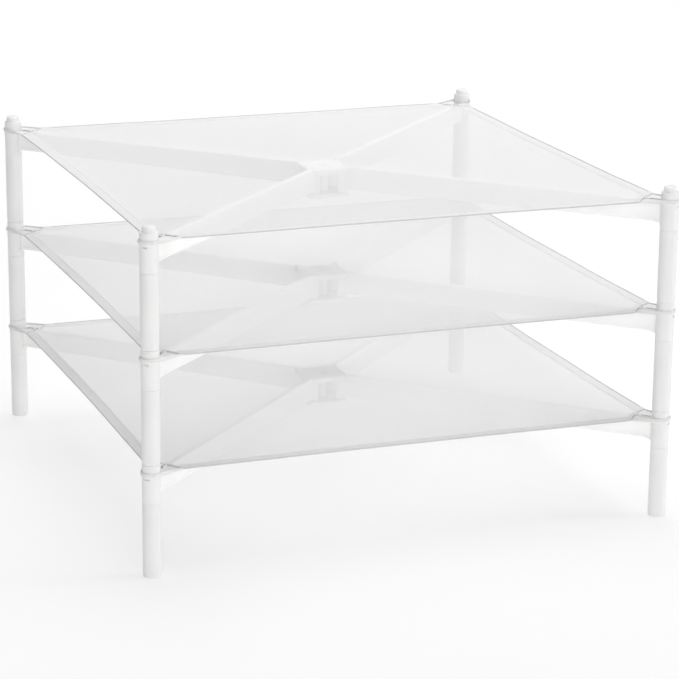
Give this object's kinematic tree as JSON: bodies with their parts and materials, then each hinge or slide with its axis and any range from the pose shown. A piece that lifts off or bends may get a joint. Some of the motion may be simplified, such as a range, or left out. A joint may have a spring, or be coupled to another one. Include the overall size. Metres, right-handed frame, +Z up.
{
  "type": "stackable mesh drying rack",
  "caption": "Stackable square drying rack: white tiers, each a folding cross of arms on a hub with corner posts and a taut mesh sheet",
  "frame": {"origin": "on the floor plane, under the middle of the square rack", "axes": "+Z up, +X to the right and +Y to the back when the rack is seen from the front edge; the posts stand at the four corners"},
  "size_m": [0.6748, 0.6748, 0.4177],
  "materials": {
    "frame_plastic": "white moulded polypropylene with a soft satin sheen",
    "leg_plastic": "white extruded plastic tube, smooth and slightly glossier than the mouldings",
    "mesh_sheet": "fine open white polyester net with a folded, stitched hem, see-through",
    "steel_fittings": "bright plated steel screw and pins"
  },
  "bodies": {
    "tier1_hub": {"tier1_hub_cover": "frame_plastic", "tier1_hub_base": "frame_plastic", "tier1_hub_screw": "steel_fittings", "tier1_mesh_panel": "mesh_sheet", "tier1_pivot_pin_back_right": "steel_fittings", "tier1_pivot_pin_back_left": "steel_fittings", "tier1_pivot_pin_front_left": "steel_fittings", "tier1_pivot_pin_front_right": "steel_fittings"},
    "tier1_back_right": {"tier1_arm_back_right": "frame_plastic", "tier1_leg_back_right": "leg_plastic", "tier1_mesh_loop_back_right": "mesh_sheet"},
    "tier1_back_left": {"tier1_arm_back_left": "frame_plastic", "tier1_leg_back_left": "leg_plastic", "tier1_mesh_loop_back_left": "mesh_sheet"},
    "tier1_front_left": {"tier1_arm_front_left": "frame_plastic", "tier1_leg_front_left": "leg_plastic", "tier1_mesh_loop_front_left": "mesh_sheet"},
    "tier1_front_right": {"tier1_arm_front_right": "frame_plastic", "tier1_leg_front_right": "leg_plastic", "tier1_mesh_loop_front_right": "mesh_sheet"},
    "tier2_hub": {"tier2_hub_cover": "frame_plastic", "tier2_hub_base": "frame_plastic", "tier2_hub_screw": "steel_fittings", "tier2_mesh_panel": "mesh_sheet", "tier2_pivot_pin_back_right": "steel_fittings", "tier2_pivot_pin_back_left": "steel_fittings", "tier2_pivot_pin_front_left": "steel_fittings", "tier2_pivot_pin_front_right": "steel_fittings"},
    "tier2_back_right": {"tier2_arm_back_right": "frame_plastic", "tier2_leg_back_right": "leg_plastic", "tier2_mesh_loop_back_right": "mesh_sheet"},
    "tier2_back_left": {"tier2_arm_back_left": "frame_plastic", "tier2_leg_back_left": "leg_plastic", "tier2_mesh_loop_back_left": "mesh_sheet"},
    "tier2_front_left": {"tier2_arm_front_left": "frame_plastic", "tier2_leg_front_left": "leg_plastic", "tier2_mesh_loop_front_left": "mesh_sheet"},
    "tier2_front_right": {"tier2_arm_front_right": "frame_plastic", "tier2_leg_front_right": "leg_plastic", "tier2_mesh_loop_front_right": "mesh_sheet"},
    "tier3_hub": {"tier3_hub_cover": "frame_plastic", "tier3_hub_base": "frame_plastic", "tier3_hub_screw": "steel_fittings", "tier3_mesh_panel": "mesh_sheet", "tier3_pivot_pin_back_right": "steel_fittings", "tier3_pivot_pin_back_left": "steel_fittings", "tier3_pivot_pin_front_left": "steel_fittings", "tier3_pivot_pin_front_right": "steel_fittings"},
    "tier3_back_right": {"tier3_arm_back_right": "frame_plastic", "tier3_leg_back_right": "leg_plastic", "tier3_mesh_loop_back_right": "mesh_sheet"},
    "tier3_back_left": {"tier3_arm_back_left": "frame_plastic", "tier3_leg_back_left": "leg_plastic", "tier3_mesh_loop_back_left": "mesh_sheet"},
    "tier3_front_left": {"tier3_arm_front_left": "frame_plastic", "tier3_leg_front_left": "leg_plastic", "tier3_mesh_loop_front_left": "mesh_sheet"},
    "tier3_front_right": {"tier3_arm_front_right": "frame_plastic", "tier3_leg_front_right": "leg_plastic", "tier3_mesh_loop_front_right": "mesh_sheet"}
  },
  "joints": [
    {"name": "lift_tier2", "type": "slide", "parent": "tier1_hub", "child": "tier2_hub", "axis": [0, 0, 1], "range_m": [0, 0.08]},
    {"name": "lift_tier3", "type": "slide", "parent": "tier2_hub", "child": "tier3_hub", "axis": [0, 0, 1], "range_m": [0, 0.08]},
    {"name": "fold_tier1_front_left", "type": "hinge", "parent": "tier1_hub", "child": "tier1_front_left", "pos_m": [-0.018, -0.018, 0.1035], "axis": [0, 0, -1], "range_deg": [0, 44]},
    {"name": "fold_tier1_front_right", "type": "hinge", "parent": "tier1_hub", "child": "tier1_front_right", "pos_m": [0.018, -0.018, 0.1035], "axis": [0, 0, 1], "range_deg": [0, 44]},
    {"name": "fold_tier1_back_right", "type": "hinge", "parent": "tier1_hub", "child": "tier1_back_right", "pos_m": [0.018, 0.018, 0.1035], "axis": [0, 0, -1], "range_deg": [0, 44]},
    {"name": "fold_tier1_back_left", "type": "hinge", "parent": "tier1_hub", "child": "tier1_back_left", "pos_m": [-0.018, 0.018, 0.1035], "axis": [0, 0, 1], "range_deg": [0, 44]},
    {"name": "fold_tier2_front_left", "type": "hinge", "parent": "tier2_hub", "child": "tier2_front_left", "pos_m": [-0.018, -0.018, 0.2405], "axis": [0, 0, -1], "range_deg": [0, 44]},
    {"name": "fold_tier2_front_right", "type": "hinge", "parent": "tier2_hub", "child": "tier2_front_right", "pos_m": [0.018, -0.018, 0.2405], "axis": [0, 0, 1], "range_deg": [0, 44]},
    {"name": "fold_tier2_back_right", "type": "hinge", "parent": "tier2_hub", "child": "tier2_back_right", "pos_m": [0.018, 0.018, 0.2405], "axis": [0, 0, -1], "range_deg": [0, 44]},
    {"name": "fold_tier2_back_left", "type": "hinge", "parent": "tier2_hub", "child": "tier2_back_left", "pos_m": [-0.018, 0.018, 0.2405], "axis": [0, 0, 1], "range_deg": [0, 44]},
    {"name": "fold_tier3_front_left", "type": "hinge", "parent": "tier3_hub", "child": "tier3_front_left", "pos_m": [-0.018, -0.018, 0.3775], "axis": [0, 0, -1], "range_deg": [0, 44]},
    {"name": "fold_tier3_front_right", "type": "hinge", "parent": "tier3_hub", "child": "tier3_front_right", "pos_m": [0.018, -0.018, 0.3775], "axis": [0, 0, 1], "range_deg": [0, 44]},
    {"name": "fold_tier3_back_right", "type": "hinge", "parent": "tier3_hub", "child": "tier3_back_right", "pos_m": [0.018, 0.018, 0.3775], "axis": [0, 0, -1], "range_deg": [0, 44]},
    {"name": "fold_tier3_back_left", "type": "hinge", "parent": "tier3_hub", "child": "tier3_back_left", "pos_m": [-0.018, 0.018, 0.3775], "axis": [0, 0, 1], "range_deg": [0, 44]}
  ],
  "couplings": [
    {"joint": "fold_tier1_front_right", "follows": "fold_tier1_front_left", "ratio": 1},
    {"joint": "fold_tier1_back_right", "follows": "fold_tier1_front_left", "ratio": 1},
    {"joint": "fold_tier1_back_left", "follows": "fold_tier1_front_left", "ratio": 1},
    {"joint": "fold_tier2_front_left", "follows": "fold_tier1_front_left", "ratio": 1},
    {"joint": "fold_tier2_front_right", "follows": "fold_tier1_front_left", "ratio": 1},
    {"joint": "fold_tier2_back_right", "follows": "fold_tier1_front_left", "ratio": 1},
    {"joint": "fold_tier2_back_left", "follows": "fold_tier1_front_left", "ratio": 1},
    {"joint": "fold_tier3_front_left", "follows": "fold_tier1_front_left", "ratio": 1},
    {"joint": "fold_tier3_front_right", "follows": "fold_tier1_front_left", "ratio": 1},
    {"joint": "fold_tier3_back_right", "follows": "fold_tier1_front_left", "ratio": 1},
    {"joint": "fold_tier3_back_left", "follows": "fold_tier1_front_left", "ratio": 1}
  ]
}
